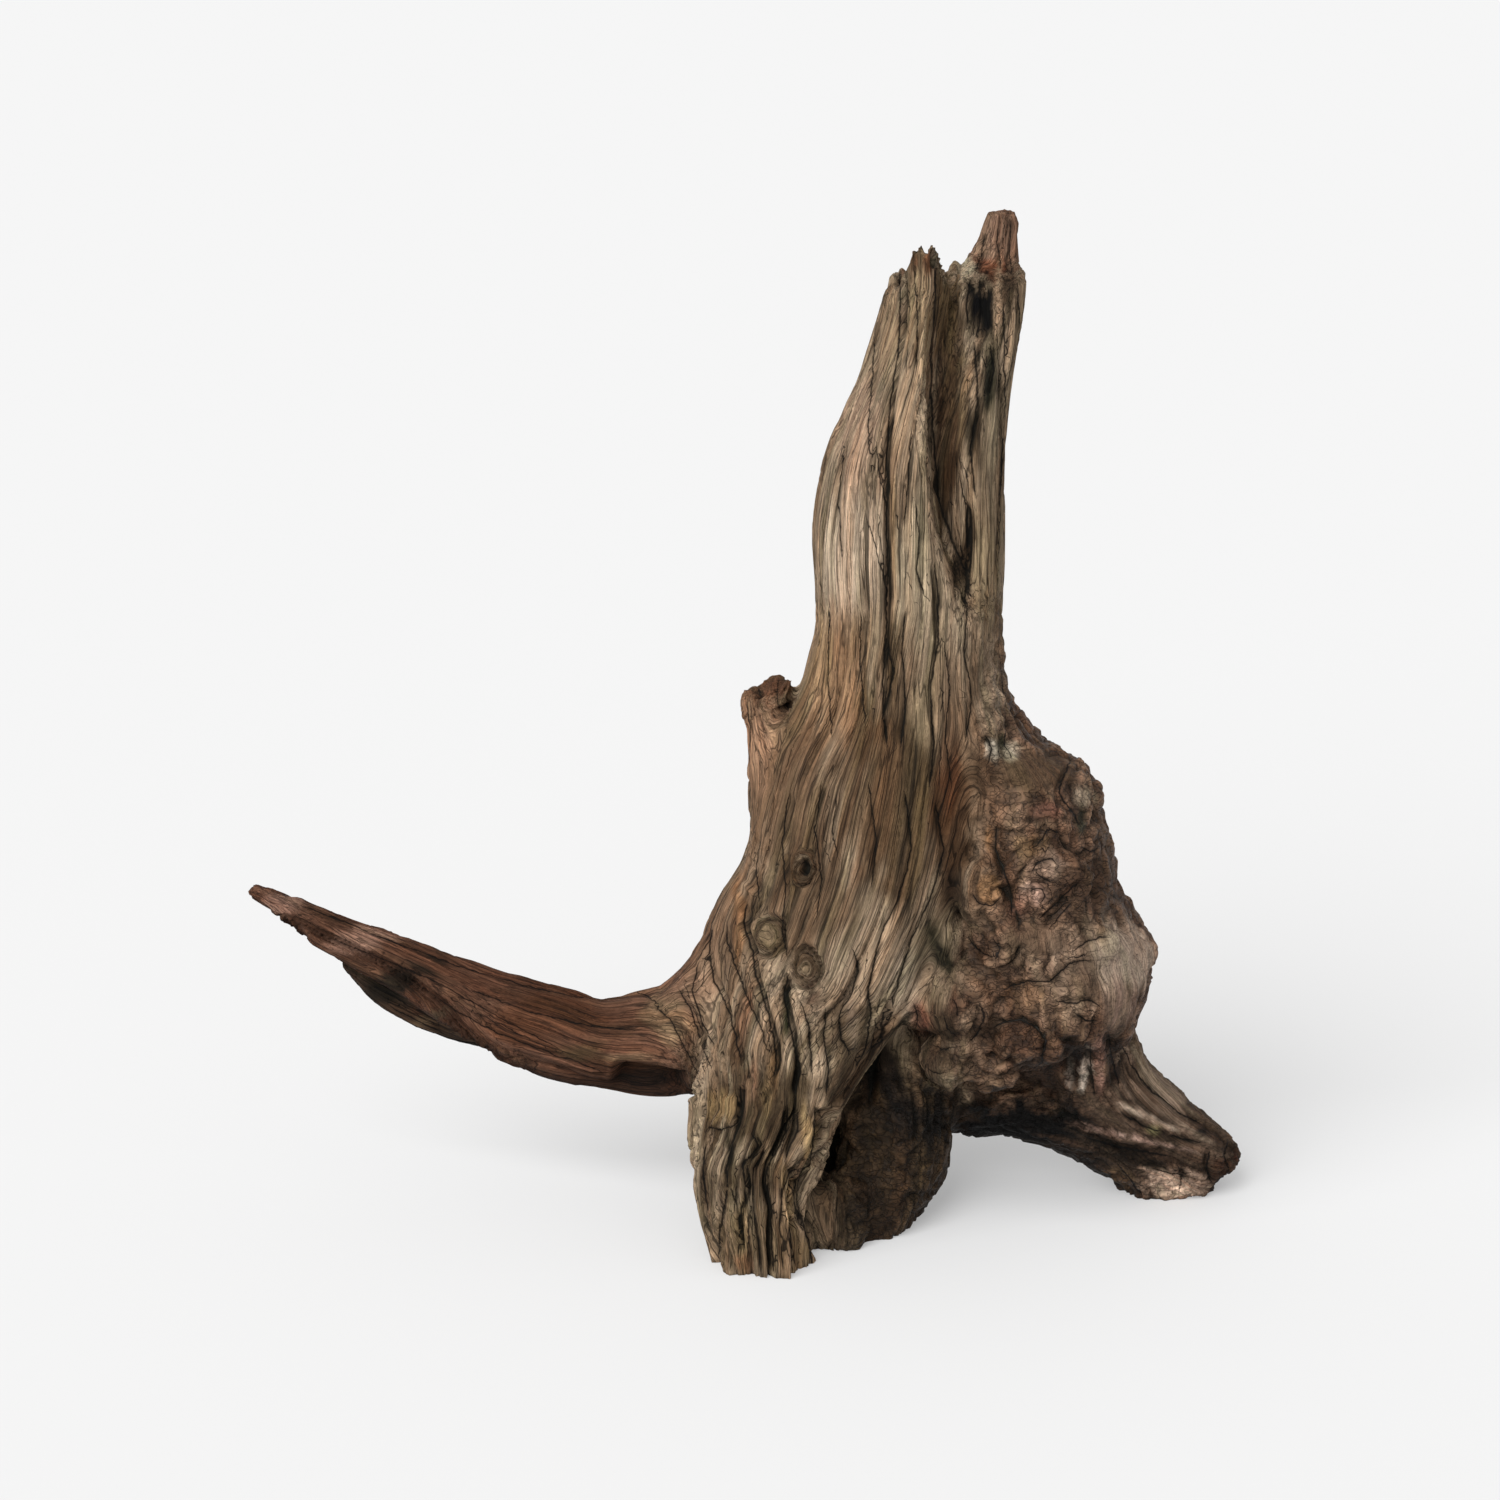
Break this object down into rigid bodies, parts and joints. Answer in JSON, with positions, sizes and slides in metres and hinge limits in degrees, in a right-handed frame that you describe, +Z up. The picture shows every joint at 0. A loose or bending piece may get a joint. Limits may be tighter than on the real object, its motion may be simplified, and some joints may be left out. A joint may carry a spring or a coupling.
{
  "type": "driftwood",
  "caption": "Weathered upright root stump with a hollow splintered top, a long forked side root, a knobbly burl and spread feet.",
  "frame": {"origin": "centre of the bounding box, on the surface that the feet stand on", "axes": "+Z up along the stem, -Y to the front that shows the burl and the knots, +X to the burl and the right foot"},
  "size_m": [0.4322, 0.1622, 0.4283],
  "materials": {
    "weathered_wood": "unfinished, weathered and furrowed along the grain"
  },
  "bodies": {
    "root": {"driftwood": "weathered_wood"}
  },
  "joints": []
}
